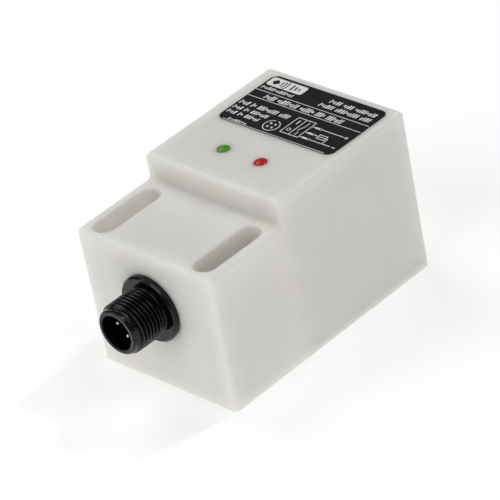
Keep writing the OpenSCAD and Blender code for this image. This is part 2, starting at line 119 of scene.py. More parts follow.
def plate(bm, outline, holes, low, high):
    """A flat plate of that outline, with holes through it."""
    edges = []
    for loop in (outline, *holes):
        verts = [bm.verts.new((x, y, low)) for x, y in loop]
        edges += [bm.edges.new((a, b)) for a, b in zip(verts, verts[1:] + verts[:1])]
    filled = bmesh.ops.triangle_fill(bm, edges=edges, use_beauty=True)
    faces = [g for g in filled["geom"] if isinstance(g, bmesh.types.BMFace)]
    made = bmesh.ops.extrude_face_region(bm, geom=faces)
    raised = [g for g in made["geom"] if isinstance(g, bmesh.types.BMVert)]
    bmesh.ops.translate(bm, verts=raised, vec=(0, 0, high - low))


def lathe(bm, profile, steps=64, matrix=Matrix.Identity(4)):
    """Turns a closed profile of (radius, height) points round Z, then moves it by the matrix."""
    columns = []
    for i in range(steps):
        a = math.tau * i / steps
        spots = [matrix @ Vector((r * math.cos(a), r * math.sin(a), z)) for r, z in profile]
        columns.append([bm.verts.new(spot) for spot in spots])
    count = len(profile)
    for i in range(steps):
        here, there = columns[i], columns[(i + 1) % steps]
        for j in range(count):
            k = (j + 1) % count
            on_axis = max(profile[j][0], profile[k][0]) < 1e-9
            if not on_axis:
                bm.faces.new((here[j], there[j], there[k], here[k]))
    bmesh.ops.remove_doubles(bm, verts=bm.verts, dist=1e-7)


def round_edges(bm, test, radius, segments):
    """Rounds the edges whose two faces and place pass the test."""
    edges = [e for e in bm.edges if len(e.link_faces) == 2 and test(e)]
    bmesh.ops.bevel(bm, geom=edges, offset=radius, segments=segments, profile=0.5, affect="EDGES",
                    clamp_overlap=False)


def temporary(bm):
    """A plain object that holds a bmesh while a boolean works on it."""
    bmesh.ops.recalc_face_normals(bm, faces=bm.faces)
    mesh = bpy.data.meshes.new("temporary")
    bm.to_mesh(mesh)
    bm.free()
    holder = bpy.data.objects.new("temporary", mesh)
    bpy.context.scene.collection.objects.link(holder)
    return holder


def combine(bm, others, operation="DIFFERENCE"):
    """The first solid with the others taken out of it, or joined to it."""
    base = temporary(bm)
    helpers = [temporary(other) for other in others]
    for helper in helpers:
        step = base.modifiers.new("step", "BOOLEAN")
        step.operation = operation
        step.solver = "EXACT"
        step.object = helper
    result = bmesh.new()
    result.from_object(base, bpy.context.evaluated_depsgraph_get())
    for holder in (base, *helpers):
        mesh = holder.data
        bpy.data.objects.remove(holder)
        bpy.data.meshes.remove(mesh)
    bmesh.ops.remove_doubles(result, verts=result.verts, dist=1e-7)
    bmesh.ops.dissolve_degenerate(result, edges=result.edges, dist=1e-7)
    return result


def add_piece(name, bm, material, replaced=(), sharp_angle=32):
    """Turns a finished bmesh into a named piece that rides on the body."""
    bmesh.ops.recalc_face_normals(bm, faces=bm.faces)
    mesh = bpy.data.meshes.new(name)
    bm.to_mesh(mesh)
    bm.free()
    mesh.materials.append(material)
    mesh.shade_smooth()
    mesh.set_sharp_from_angle(angle=math.radians(sharp_angle))
    piece = bpy.data.objects.new(name, mesh)
    bpy.context.scene.collection.objects.link(piece)
    normals = piece.modifiers.new("even_shading", "WEIGHTED_NORMAL")
    normals.keep_sharp = True
    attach(piece, "root")
    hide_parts(*replaced)
    return piece


# ------------------------------------------------------------ materials

def linear(red, green, blue):
    """A display colour, each part from 0 to 255, as the linear colour that a shader takes."""
    parts = [c / 255 for c in (red, green, blue)]
    return [c / 12.92 if c <= 0.04045 else ((c + 0.055) / 1.055) ** 2.4 for c in parts] + [1]


class Look:
    """A material under construction: a principled shader fed by noise in the object's own space."""

    def __init__(self, name, **constants):
        self.material = bpy.data.materials.new(name)
        self.material.use_nodes = True
        self.tree = self.material.node_tree
        self.shader = self.tree.nodes["Principled BSDF"]
        for socket, value in constants.items():
            self.shader.inputs[socket.replace("_", " ")].default_value = value
        self.place = self.node("ShaderNodeTexCoord").outputs["Object"]

    def node(self, kind, **settings):
        made = self.tree.nodes.new(kind)
        for key, value in settings.items():
            setattr(made, key, value)
        return made

    def link(self, source, target):
        self.tree.links.new(source, target)

    def stretched(self, x, y, z):
        """The object's space, stretched so that a pattern runs along one axis."""
        mapping = self.node("ShaderNodeMapping")
        mapping.inputs["Scale"].default_value = (x, y, z)
        self.link(self.place, mapping.inputs["Vector"])
        return mapping.outputs["Vector"]

    def noise(self, grain, detail=3, where=None):
        """Noise whose grains are that many metres across."""
        made = self.node("ShaderNodeTexNoise")
        made.inputs["Scale"].default_value = 1 / grain
        made.inputs["Detail"].default_value = detail
        self.link(where or self.place, made.inputs["Vector"])
        return made.outputs["Fac"]

    def cells(self, size, feature="F1"):
        made = self.node("ShaderNodeTexVoronoi", feature=feature)
        made.inputs["Scale"].default_value = 1 / size
        self.link(self.place, made.inputs["Vector"])
        return made.outputs["Distance"]

    def spread(self, source, low, high, start=0.35, end=0.65):
        """Maps the middle of a pattern's range to a range of values."""
        made = self.node("ShaderNodeMapRange")
        for socket, value in (("From Min", start), ("From Max", end), ("To Min", low), ("To Max", high)):
            made.inputs[socket].default_value = value
        self.link(source, made.inputs["Value"])
        return made.outputs["Result"]

    def blend(self, factor, first, second):
        made = self.node("ShaderNodeMix", data_type="RGBA")
        self.link(factor, made.inputs["Factor"])
        for socket, colour in ((6, first), (7, second)):
            if isinstance(colour, bpy.types.NodeSocket):
                self.link(colour, made.inputs[socket])
            else:
                made.inputs[socket].default_value = colour
        return made.outputs[2]

    def colour(self, source):
        self.link(source, self.shader.inputs["Base Color"])

    def roughness(self, source, low, high):
        self.link(self.spread(source, low, high), self.shader.inputs["Roughness"])

    def bump(self, *layers):
        """Adds relief from (pattern, depth in metres) pairs, one on top of the other."""
        normal = None
        for source, depth in layers:
            made = self.node("ShaderNodeBump")
            made.inputs["Distance"].default_value = depth
            self.link(source, made.inputs["Height"])
            if normal:
                self.link(normal, made.inputs["Normal"])
            normal = made.outputs["Normal"]
        self.link(normal, self.shader.inputs["Normal"])


def moulded_plastic(name, base, light, roughness=0.42, grain=0.0003, depth=0.000006, **constants):
    """Moulded plastic with a fine eroded texture, slightly cloudy in colour."""
    look = Look(name, **constants)
    look.colour(look.blend(look.spread(look.noise(0.012), 0, 1), base, light))
    look.roughness(look.noise(0.004), roughness - 0.05, roughness + 0.06)
    look.bump((look.noise(grain, 4), depth), (look.noise(0.006, 2), depth * 3))
    return look.material


HOUSING_COLOUR = linear(239, 235, 228)
HOUSING_LIGHT = linear(242, 239, 233)
HOUSING_SPECK = linear(234, 229, 220)


def housing_plastic():
    """Off-white engineering plastic that lets a little light in."""
    look = Look("housing_plastic", Subsurface_Weight=1.0, Subsurface_Scale=0.0045, Specular_IOR_Level=0.35)
    look.shader.inputs["Subsurface Radius"].default_value = (1.0, 0.97, 0.93)
    cloud = look.spread(look.noise(0.014), 0, 1)
    speck = look.spread(look.noise(0.0005, 2), 0, 1, 0.62, 0.75)
    base = look.blend(cloud, HOUSING_COLOUR, HOUSING_LIGHT)
    look.colour(look.blend(speck, base, HOUSING_SPECK))
    look.roughness(look.noise(0.005), 0.4, 0.5)
    look.bump((look.noise(0.00035, 4), 0.000003), (look.noise(0.009, 2), 0.00002))
    return look.material


def metal(name, base, dark, roughness, along=(1, 1, 1), grain=0.0004):
    """Plated or bare metal with fine marks that can run along one axis."""
    look = Look(name, Metallic=1.0)
    marks = look.noise(grain, 5, look.stretched(*along))
    look.colour(look.blend(look.spread(look.noise(0.003), 0, 1), base, dark))
    look.roughness(marks, roughness * 0.75, roughness * 1.3)
    look.bump((marks, 0.000004))
    return look.material


def lamp_epoxy(name, base, deep):
    """Tinted, clouded epoxy: a little light passes, with a clear gloss on top."""
    look = Look(name, Subsurface_Weight=0.3, Subsurface_Scale=0.0008, Specular_IOR_Level=0.3,
                Coat_Weight=0.15, Coat_Roughness=0.12)
    look.shader.inputs["Subsurface Radius"].default_value = (1, 1, 1)
    look.colour(look.blend(look.spread(look.noise(0.0009), 0, 1), base, deep))
    look.roughness(look.noise(0.0008), 0.28, 0.4)
    look.bump((look.noise(0.0005, 3), 0.000006))
    return look.material


def label_foil():
    """Satin black printed film, with a faint weave of pressure marks."""
    look = Look("label_foil", Specular_IOR_Level=0.3)
    cloud = look.spread(look.noise(0.006), 0, 1)
    look.colour(look.blend(cloud, linear(16, 16, 17), linear(21, 21, 22)))
    look.roughness(look.noise(0.0025), 0.36, 0.48)
    look.bump((look.noise(0.0002, 3), 0.000003), (look.noise(0.004, 2), 0.000012))
    return look.material


def label_ink():
    look = Look("label_ink", Specular_IOR_Level=0.35)
    grains = look.spread(look.noise(0.0006), 0, 1)
    look.colour(look.blend(grains, linear(232, 232, 230), linear(246, 246, 244)))
    look.roughness(look.noise(0.0008), 0.45, 0.6)
    look.bump((look.noise(0.00025, 3), 0.000004))
    return look.material


def speckled(name, base, speck, size, roughness, **constants):
    """A dense body with small grains of a second colour."""
    look = Look(name, **constants)
    grains = look.spread(look.cells(size), 1, 0, 0.1, 0.4)
    look.colour(look.blend(grains, base, speck))
    look.roughness(look.noise(0.001), roughness - 0.08, roughness + 0.08)
    look.bump((look.noise(size, 4), 0.00001))
    return look.material


def board_laminate():
    """Green mask over copper: the tracks show as a lighter, slightly raised grid of lines."""
    look = Look("board_laminate", Coat_Weight=0.4, Coat_Roughness=0.25)
    tracks = look.node("ShaderNodeTexBrick", offset=0.37, squash=1.6)
    layout = {"Scale": 330.0, "Mortar Size": 0.05, "Brick Width": 2.6, "Row Height": 0.45}
    for socket, value in layout.items():
        tracks.inputs[socket].default_value = value
    look.link(look.place, tracks.inputs["Vector"])
    line = tracks.outputs["Fac"]
    mask = look.blend(look.spread(look.noise(0.005), 0, 1), linear(16, 74, 42), linear(20, 84, 50))
    look.colour(look.blend(line, mask, linear(38, 120, 70)))
    look.roughness(look.noise(0.002), 0.34, 0.46)
    look.bump((line, 0.00003), (look.noise(0.0004, 3), 0.000006))
    return look.material


def resin():
    """Dark potting resin, self-levelled, with a few small bubbles just under the surface."""
    look = Look("potting_resin", Coat_Weight=0.5, Coat_Roughness=0.08)
    bubbles = look.spread(look.cells(0.0035), 1, 0, 0.03, 0.12)
    look.colour(look.blend(bubbles, linear(44, 42, 38), linear(70, 66, 58)))
    look.roughness(look.noise(0.003), 0.22, 0.34)
    look.bump((bubbles, 0.00005), (look.noise(0.008, 2), 0.00008))
    return look.material


MATERIALS = {
    "housing_plastic": housing_plastic(),
    "cover_plastic": moulded_plastic("cover_plastic", linear(214, 212, 207), linear(220, 218, 213)),
    "label_foil": label_foil(),
    "label_ink": label_ink(),
    "led_green": lamp_epoxy("lamp_epoxy_green", linear(66, 148, 20), linear(84, 162, 36)),
    "led_red": lamp_epoxy("lamp_epoxy_red", linear(206, 16, 18), linear(184, 12, 20)),
    "connector_plastic": moulded_plastic("connector_plastic", linear(6, 6, 7), linear(9, 9, 10), 0.18,
                                         Specular_IOR_Level=0.3),
    "insert_plastic": moulded_plastic("insert_plastic", linear(9, 9, 10), linear(13, 13, 14), 0.5,
                                      Specular_IOR_Level=0.25),
    "seal_rubber": moulded_plastic("seal_rubber", linear(26, 26, 27), linear(34, 34, 35), 0.68),
    "nut_metal": metal("nut_metal", linear(205, 196, 170), linear(186, 176, 150), 0.3, (1, 8, 1)),
    "contact_metal": metal("contact_metal", linear(236, 232, 222), linear(222, 214, 196), 0.22, (1, 8, 1)),
    "wire_brown": moulded_plastic("wire_brown", linear(92, 56, 34), linear(104, 64, 40), 0.4),
    "wire_white": moulded_plastic("wire_white", linear(224, 224, 220), linear(232, 232, 228), 0.4),
    "wire_blue": moulded_plastic("wire_blue", linear(34, 72, 150), linear(42, 84, 164), 0.4),
    "wire_black": moulded_plastic("wire_black", linear(26, 26, 27), linear(34, 34, 35), 0.4),
    "board_laminate": board_laminate(),
    "holder_plastic": moulded_plastic("holder_plastic", linear(36, 36, 37), linear(44, 44, 45), 0.5),
    "chip_epoxy": speckled("chip_epoxy", linear(34, 34, 36), linear(56, 56, 58), 0.00012, 0.5),
    "tantalum_epoxy": speckled("tantalum_epoxy", linear(206, 148, 44), linear(224, 170, 70), 0.0002, 0.45),
    "chip_ceramic": speckled("chip_ceramic", linear(176, 140, 104), linear(196, 164, 130), 0.00015, 0.5),
    "resistor_ceramic": speckled("resistor_ceramic", linear(34, 36, 46), linear(60, 62, 72), 0.00015, 0.4),
    "carrier_plastic": moulded_plastic("carrier_plastic", linear(52, 60, 84), linear(60, 70, 94), 0.45),
    "ferrite": speckled("ferrite", linear(58, 58, 62), linear(92, 92, 96), 0.0002, 0.55),
    "bobbin_plastic": moulded_plastic("bobbin_plastic", linear(226, 224, 214), linear(234, 232, 224), 0.4),
    "copper_wire": metal("copper_wire", linear(206, 120, 74), linear(180, 92, 50), 0.3, (1, 1, 1), 0.0006),
    "potting_resin": resin(),
}


# ------------------------------------------------------------ body

HOUSING_LOW, HOUSING_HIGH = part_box("housing")
COVER_LOW, COVER_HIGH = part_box("bottom_cover")
EDGE_R = 1.2 * MM
STEP_FILLET_R = 0.8 * MM
SHELF_Z = 34 * MM
STEP_Y = HOUSING_LOW.y + 22.5 * MM
SIDE_WALL = 2.4 * MM
TOP_WALL = 2.6 * MM
FRONT_WALL = 3 * MM
REAR_WALL = 2.2 * MM
LEDGE_W = 0.9 * MM
COVER_GAP = 0.1 * MM
CHAMBER_R = 1 * MM
SLOT_X = 15 * MM
SLOT_W = 5.5 * MM
SLOT_L = 18.5 * MM
SLOT_Y = HOUSING_LOW.y + 1.6 * MM + SLOT_L / 2
SLOT_RIM_R = 0.5 * MM
FRONT_HALF_W = SLOT_X - SLOT_W / 2 - 2.2 * MM
CHAMBER_OVERLAP = 3 * CHAMBER_R
SLOT_LOWER_EDGE = 0.15 * MM
COVER_EDGE = 0.2 * MM
EJECTOR_R = 1.5 * MM
EJECTOR_INSET = 4 * MM
GATE_INSET = 10 * MM
MARK_DEPTH = 0.08 * MM
PAST = 1 * MM  # how far a cutter reaches past the face it opens


def stepped_block():
    """The outer form: a block with a low shelf at the connector end, rounded except along the bottom."""
    low, high = HOUSING_LOW, HOUSING_HIGH
    side = [(low.y, low.z), (high.y, low.z), (high.y, high.z),
            (STEP_Y, high.z), (STEP_Y, SHELF_Z), (low.y, SHELF_Z)]
    bm = bmesh.new()
    loft(bm, [[(x, y, z) for y, z in side] for x in (low.x, high.x)])
    bmesh.ops.recalc_face_normals(bm, faces=bm.faces)

    def is_inner_corner(e):
        return not e.is_convex and all(abs(v.co.y - STEP_Y) < 1e-6 for v in e.verts)

    def is_outer(e):
        above = max(v.co.z for v in e.verts) > low.z + 1e-6
        return above and e.calc_face_angle() > 1 and e.is_convex

    round_edges(bm, is_inner_corner, STEP_FILLET_R, 8)
    round_edges(bm, is_outer, EDGE_R, 8)
    return bm


def slot_cutter(side):
    """A slot through the shelf with a rounded upper rim and a broken lower edge."""
    x, low, top = side * SLOT_X, HOUSING_LOW.z, SHELF_Z
    rings = [(low - PAST, SLOT_LOWER_EDGE), (low, SLOT_LOWER_EDGE), (low + SLOT_LOWER_EDGE, 0)]
    for i in range(9):
        turn = math.radians(90) * i / 8
        rings.append((top - SLOT_RIM_R * (1 - math.sin(turn)), SLOT_RIM_R * (1 - math.cos(turn))))
    rings.append((top + PAST, SLOT_RIM_R))
    bm = bmesh.new()
    loft(bm, [[(px, py, z) for px, py in stadium(x, SLOT_Y, SLOT_W + 2 * grow, SLOT_L + 2 * grow)]
              for z, grow in rings])
    return bm


def cavity(half_w, y0, y1, top):
    bm = bmesh.new()
    prism(bm, rounded_rectangle(-half_w, y0, half_w, y1, CHAMBER_R), HOUSING_LOW.z - PAST, top)
    return bm


def drilled(x, y, radius, z0, z1):
    """A round hole along Z, countersunk a touch at the top."""
    bm = bmesh.new()
    lip = 0.12 * MM
    rings = [(z0, 0), (z1 - lip, 0), (z1, lip), (z1 + PAST, lip)]
    loft(bm, [[(px, py, z) for px, py in circle(x, y, radius + grow)] for z, grow in rings])
    return bm


def build_housing():
    half_w = HOUSING_HIGH.x - SIDE_WALL
    back = HOUSING_HIGH.y - REAR_WALL
    front = HOUSING_LOW.y + FRONT_WALL
    under_step = STEP_Y + SIDE_WALL
    recess = COVER_HIGH.z
    cutters = [slot_cutter(-1), slot_cutter(1)]
    cutters.append(cavity(half_w, under_step, back, HOUSING_HIGH.z - TOP_WALL))
    cutters.append(cavity(FRONT_HALF_W, front, under_step + CHAMBER_OVERLAP, SHELF_Z - TOP_WALL))
    cutters.append(cavity(half_w + LEDGE_W, under_step - LEDGE_W, back + LEDGE_W, recess))
    cutters.append(cavity(FRONT_HALF_W + LEDGE_W, front - LEDGE_W, under_step + CHAMBER_OVERLAP, recess))
    bore = bmesh.new()
    depth = FRONT_WALL + PAST
    profile = [(0, -PAST), (SPIGOT_HOLE_R, -PAST), (SPIGOT_HOLE_R, depth), (0, depth)]
    inward = Matrix.Translation(CONNECTOR_SEAT) @ Matrix.Rotation(math.radians(-90), 4, "X")
    lathe(bore, profile, 64, inward)
    cutters.append(bore)
    for lamp in ("led_green", "led_red"):
        x, y = lamp_middle(lamp)
        cutters.append(drilled(x, y, LED_HOLE_R, HOUSING_HIGH.z - TOP_WALL - PAST, HOUSING_HIGH.z))
    add_piece("housing_moulding", combine(stepped_block(), cutters), MATERIALS["housing_plastic"],
              ["housing"])


def build_cover():
    """The glued bottom cover, with its chamfered edge, ejector marks and gate mark."""
    half_w, back = COVER_HIGH.x, COVER_HIGH.y
    front = COVER_LOW.y
    under_step = STEP_Y + SIDE_WALL - LEDGE_W + COVER_GAP
    narrow = FRONT_HALF_W + LEDGE_W - COVER_GAP
    low, high = COVER_LOW.z, COVER_HIGH.z

    def block(half, y0, y1):
        bm = bmesh.new()
        rings = [(low, COVER_EDGE), (low + COVER_EDGE, 0), (high, 0)]
        layers = []
        for z, inset in rings:
            outline = rounded_rectangle(inset - half, y0 + inset, half - inset, y1 - inset, CHAMBER_R)
            layers.append([(x, y, z) for x, y in outline])
        loft(bm, layers)
        return bm

    wide_part = block(half_w, under_step, back)
    narrow_part = block(narrow, front, under_step + CHAMBER_OVERLAP)
    bm = combine(wide_part, [narrow_part], "UNION")
    marks = []
    ends = (under_step + EJECTOR_INSET, back - EJECTOR_INSET)
    spots = [(side * (half_w - EJECTOR_INSET), y) for side in (-1, 1) for y in ends]
    spots += [(0, front + EJECTOR_INSET), (0, back - GATE_INSET)]
    for x, y in spots:
        mark = bmesh.new()
        prism(mark, circle(x, y, EJECTOR_R, 32), low - PAST, low + MARK_DEPTH)
        marks.append(mark)
    add_piece("bottom_cover_moulding", combine(bm, marks), MATERIALS["cover_plastic"],
              ["bottom_cover"])


# ------------------------------------------------------------ indicator lamps

LED_R = 1.45 * MM
LED_HOLE_R = 1.57 * MM
LED_RIM_T = 0.8 * MM
LED_RIM_R = 1.9 * MM
LED_BASE_Z = HOUSING_HIGH.z - TOP_WALL - 2 * MM
LED_LEG_W = 0.5 * MM
LED_LEG_PITCH = 2.54 * MM


def lamp_middle(node):
    low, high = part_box(node)
    return (low.x + high.x) / 2, (low.y + high.y) / 2


def build_lamp(node):
    """A lens with a rim and a shallow dome, and two square legs."""
    x, y = lamp_middle(node)
    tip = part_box(node)[1].z
    rise = tip - HOUSING_HIGH.z
    dome_r = (LED_R ** 2 + rise ** 2) / (2 * rise)
    swing = math.degrees(math.asin(LED_R / dome_r))
    dome = arc(0, tip - dome_r, dome_r, 90 - swing, 90, 10)
    rim = 0.1 * MM
    profile = [(0, LED_BASE_Z), (LED_RIM_R - rim, LED_BASE_Z), (LED_RIM_R, LED_BASE_Z + rim),
               (LED_RIM_R, LED_BASE_Z + LED_RIM_T - rim), (LED_RIM_R - rim, LED_BASE_Z + LED_RIM_T),
               (LED_R, LED_BASE_Z + LED_RIM_T)] + dome
    bm = bmesh.new()
    lathe(bm, profile, 48, Matrix.Translation((x, y, 0)))
    add_piece(node + "_lens", bm, MATERIALS[node], [node])
    legs = bmesh.new()
    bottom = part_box(node)[0].z
    for side in (-1, 1):
        mid = x + side * LED_LEG_PITCH / 2
        half = LED_LEG_W / 2
        outline = rounded_rectangle(mid - half, y - half, mid + half, y + half, half / 4, 2)
        prism(legs, outline, bottom, LED_BASE_Z)
    add_piece(node + "_legs", legs, MATERIALS["contact_metal"])


# ------------------------------------------------------------ label

LABEL_LOW, LABEL_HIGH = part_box("label")
LABEL_W = LABEL_HIGH.x - LABEL_LOW.x
LABEL_L = LABEL_HIGH.y - LABEL_LOW.y
LABEL_R = 1.8 * MM
INK_T = 0.02 * MM
THIN = 0.2 * MM
GOLDEN = 0.618
# Widths and gaps of the ticks are in one unit, which is fitted to the row's length.
TICK_GAP = 0.42
GROUP_GAP = 0.5
TICK_MIN = 0.42
TICK_SPREAD = 0.38
# Lean, short top and raised foot of the ticks are shares of the row's height.
TICK_LEAN = 0.16
SHORT_TOP = 0.72
RAISED_FOOT = 0.3


def on_label(u, v):
    """A place on the label: u from its left edge and v down from its top edge, as shares of its size."""
    return LABEL_LOW.x + u * LABEL_W, LABEL_HIGH.y - v * LABEL_L


def ink(bm, outline, holes=()):
    plate(bm, outline, holes, LABEL_HIGH.z, LABEL_HIGH.z + INK_T)


def ink_bar(bm, u0, v0, u1, v1, radius=0.05 * MM):
    x0, y1 = on_label(u0, v0)
    x1, y0 = on_label(u1, v1)
    ink(bm, rounded_rectangle(x0, y0, x1, y1, radius, 3))


def ink_line(bm, points, width=THIN):
    ink(bm, stroke([on_label(u, v) for u, v in points], width))


def ink_frame(bm, u0, v0, u1, v1):
    """The outline of a rectangle, drawn with the thin pen."""
    x0, y1 = on_label(u0, v0)
    x1, y0 = on_label(u1, v1)
    half = THIN / 2
    outer = [(x0 - half, y0 - half), (x1 + half, y0 - half), (x1 + half, y1 + half), (x0 - half, y1 + half)]
    inner = [(x0 + half, y0 + half), (x1 - half, y0 + half), (x1 - half, y1 - half), (x0 + half, y1 - half)]
    ink(bm, outer, [inner])


def ink_ticks(bm, u0, u1, v0, v1, groups):
    """A row of slanted ticks and short bars in groups, in place of a line of print."""
    height = (v1 - v0) * LABEL_L
    lean = TICK_LEAN * height
    parts = []
    for size in groups:
        for _ in range(size):
            place = len(parts)
            parts.append((TICK_MIN + TICK_SPREAD * (place * GOLDEN % 1), (place * 3) % 5))
        parts.append((GROUP_GAP, None))
    parts.pop()
    unit = (u1 - u0) * LABEL_W / sum(width + TICK_GAP for width, _ in parts)
    left, low = on_label(u0, v1)
    for width, kind in parts:
        right = left + width * unit
        if kind is not None:
            top = low + height * (1 if kind % 2 == 0 else SHORT_TOP)
            foot = low + height * (0 if kind != 3 else RAISED_FOOT)
            shift = [lean * (z - low) / height for z in (foot, top)]
            ink(bm, [(left + shift[0], foot), (right + shift[0], foot),
                     (right + shift[1], top), (left + shift[1], top)])
        left = right + TICK_GAP * unit


def ink_symbol(bm):
    """A generic sign for a proximity switch: a diamond and three waves, cut out of a solid block."""
    x0, y1 = on_label(0.017, 0.04)
    x1, y0 = on_label(0.33, 0.205)
    middle, half = (y0 + y1) / 2, (y1 - y0) / 2
    centre = x0 + half * 1.25
    reach = half * 0.68
    diamond = circle(centre, middle, reach, 4)
    waves = []
    for i in range(3):
        radius = reach * (1.5 + 0.75 * i)
        waves.append(arc_band(centre, middle, radius, radius + 0.3 * reach, -28, 28, 10))
    slots = []
    for i in range(3):
        left = centre + reach * (4.3 + 0.95 * i)
        right = left + 0.45 * reach
        tall = reach * (1 - 0.3 * i)
        slots.append(rounded_rectangle(left, middle - tall, right, middle + tall, 0.2 * reach, 4))
    ink(bm, rounded_rectangle(x0, y0, x1, y1, half * 0.45, 6), [diamond, *waves, *slots])


def ink_plug(bm):
    """The contact layout: a ring with a notch and four dots."""
    x, y = on_label(0.412, 0.845)
    ink(bm, arc_band(x, y, 1.85 * MM, 2.05 * MM, 100, 440, 40))
    for a in (45, 135, 225, 315):
        turn = math.radians(a)
        ink(bm, circle(x + 0.9 * MM * math.cos(turn), y + 0.9 * MM * math.sin(turn), 0.3 * MM, 12))


def ink_diagram(bm):
    """The wiring sketch: a box with a sensing and a switching half, and three leads with plugs."""
    left, middle, right = 0.511, 0.584, 0.663
    top, bottom = 0.568, 0.891
    ink_frame(bm, left, top, right, bottom)
    ink_line(bm, [(middle, top), (middle, bottom)])
    ink_line(bm, [(0.548, 0.61), (0.548, 0.69)], 0.3 * MM)
    x, y = on_label(0.546, 0.81)
    ink(bm, circle(x, y, 0.55 * MM, 20), [circle(x, y, 0.38 * MM, 20)])
    ink_line(bm, [(0.625, 0.60), (0.625, 0.69), (0.605, 0.78)])
    ink_line(bm, [(0.625, 0.87), (0.625, 0.80)])
    leads = ((0.64, 0.94), (0.762, 0.86), (0.862, 0.93))
    for v, end in leads:
        ink_line(bm, [(right, v), (0.69, v)])
        ink_bar(bm, 0.69, v - 0.014, 0.735, v + 0.014, 0.1 * MM)
        px, py = on_label(0.737, v)
        ink(bm, arc_band(px, py, 0.34 * MM, 0.5 * MM, -70, 70, 8))
        ink_line(bm, [(0.755, v), (end, v)])
    ink_frame(bm, 0.78, 0.725, 0.845, 0.80)
    ink_line(bm, [(0.86, 0.762), (0.86, 0.862)])
    ink_line(bm, [(0.945, 0.64), (0.972, 0.64)], 0.28 * MM)
    ink_line(bm, [(0.9585, 0.617), (0.9585, 0.663)], 0.28 * MM)
    ink_line(bm, [(0.945, 0.862), (0.972, 0.862)], 0.28 * MM)


def build_label():
    edge = 0.04 * MM
    rings = [(LABEL_LOW.z, 0), (LABEL_HIGH.z - edge, 0), (LABEL_HIGH.z, edge)]
    foil = bmesh.new()
    layers = []
    for z, inset in rings:
        outline = rounded_rectangle(LABEL_LOW.x + inset, LABEL_LOW.y + inset,
                                    LABEL_HIGH.x - inset, LABEL_HIGH.y - inset, LABEL_R - inset, 16)
        layers.append([(x, y, z) for x, y in outline])
    loft(foil, layers)
    add_piece("label_foil", foil, MATERIALS["label_foil"], ["label"])
    bm = bmesh.new()
    ink_symbol(bm)
    ink_ticks(bm, 0.02, 0.30, 0.235, 0.29, [14])
    ink_ticks(bm, 0.56, 0.96, 0.094, 0.165, [5, 4, 9])
    ink_ticks(bm, 0.52, 0.965, 0.203, 0.275, [6, 9, 4])
    for v in (0.333, 0.475):
        ink_line(bm, [(0.004, v), (0.996, v)], 0.16 * MM)
    ink_ticks(bm, 0.124, 0.81, 0.368, 0.452, [5, 9, 6, 4, 7])
    ink_ticks(bm, 0.017, 0.455, 0.584, 0.66, [4, 2, 8, 4])
    ink_ticks(bm, 0.017, 0.325, 0.703, 0.768, [4, 2, 7])
    ink_ticks(bm, 0.017, 0.296, 0.804, 0.87, [4, 2, 6])
    ink_ticks(bm, 0.09, 0.253, 0.94, 0.98, [8])
    ink_plug(bm)
    ink_diagram(bm)
    ink_line(bm, [(0.055, 0.992), (0.945, 0.992)], 0.14 * MM)
    add_piece("label_print", bm, MATERIALS["label_ink"])


# ------------------------------------------------------------ connector

SHELL_LOW, SHELL_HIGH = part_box("connector_shell")
SHELL_MIDDLE = (SHELL_LOW + SHELL_HIGH) / 2
CONNECTOR_SEAT = Vector((SHELL_MIDDLE.x, HOUSING_LOW.y, SHELL_MIDDLE.z))
CARRIER_FACE = CONNECTOR_SEAT.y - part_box("contact_carrier")[0].y
SPIGOT_HOLE_R = 5.55 * MM
SHELL_END = CONNECTOR_SEAT.y - SHELL_LOW.y
SHELL_BACK = CONNECTOR_SEAT.y - SHELL_HIGH.y
FLANGE_R = SHELL_HIGH.x - CONNECTOR_SEAT.x
FLANGE_T = 1.5 * MM
THREAD_R = 5.95 * MM
ROOT_R = 5.34 * MM
PITCH = 1 * MM
THREAD_START = FLANGE_T + 0.6 * MM
THREAD_TURNS = 8
SAMPLES = 12
SOCKET_R = 4.2 * MM
SPIGOT_R = 5.5 * MM
SPIGOT_BORE_R = 3.7 * MM
GROOVE_R0 = 6.45 * MM
GROOVE_R1 = 7.45 * MM
GROOVE_DEPTH = 0.9 * MM
LIP = 0.12 * MM
FLANGE_EDGE_R = 0.1 * MM
BEVEL_W = 0.5 * MM
NECK_R = 0.3 * MM
KEY_R = 3.7 * MM
KEY_TOP = SHELL_END - 0.95 * MM
KEY_STEP = 0.05 * MM
KEY_COLUMN_SHARE = 315 / 360
COLUMNS = 96


def ramp(value):
    """0 below 0, 1 above 1, and smooth between."""
    t = min(max(value, 0), 1)
    return t * t * (3 - 2 * t)


def thread_height(phase):
    """Height of the thread over one pitch, from 0 in the root to 1 on the narrow crest."""
    return min(max((0.4 - abs(phase - 0.5)) / 0.33, 0), 1)


def level_rows(points):
    """One level ring of the shell for each (radius, distance out) point."""
    return [[point] * COLUMNS for point in points]


def back_points():
    """The spigot, the seal's groove and the flange, up to the neck of the thread."""
    points = [(SPIGOT_BORE_R, SHELL_BACK), (SPIGOT_R - LIP, SHELL_BACK)]
    points += [(SPIGOT_R, SHELL_BACK + LIP), (SPIGOT_R, 0)]
    points += [(GROOVE_R0, 0), (GROOVE_R0, GROOVE_DEPTH), (GROOVE_R1, GROOVE_DEPTH), (GROOVE_R1, 0)]
    points += [(FLANGE_R - LIP, 0), (FLANGE_R, LIP)]
    points += arc(FLANGE_R - FLANGE_EDGE_R, FLANGE_T - BEVEL_W, FLANGE_EDGE_R, 0, 50, 4)
    points += [(FLANGE_R - 0.36 * MM, FLANGE_T - 0.07 * MM), (FLANGE_R - 0.42 * MM, FLANGE_T - 0.02 * MM)]
    points.append((FLANGE_R - BEVEL_W, FLANGE_T))
    return points + arc(ROOT_R + NECK_R, FLANGE_T + NECK_R, NECK_R, 270, 180, 5)


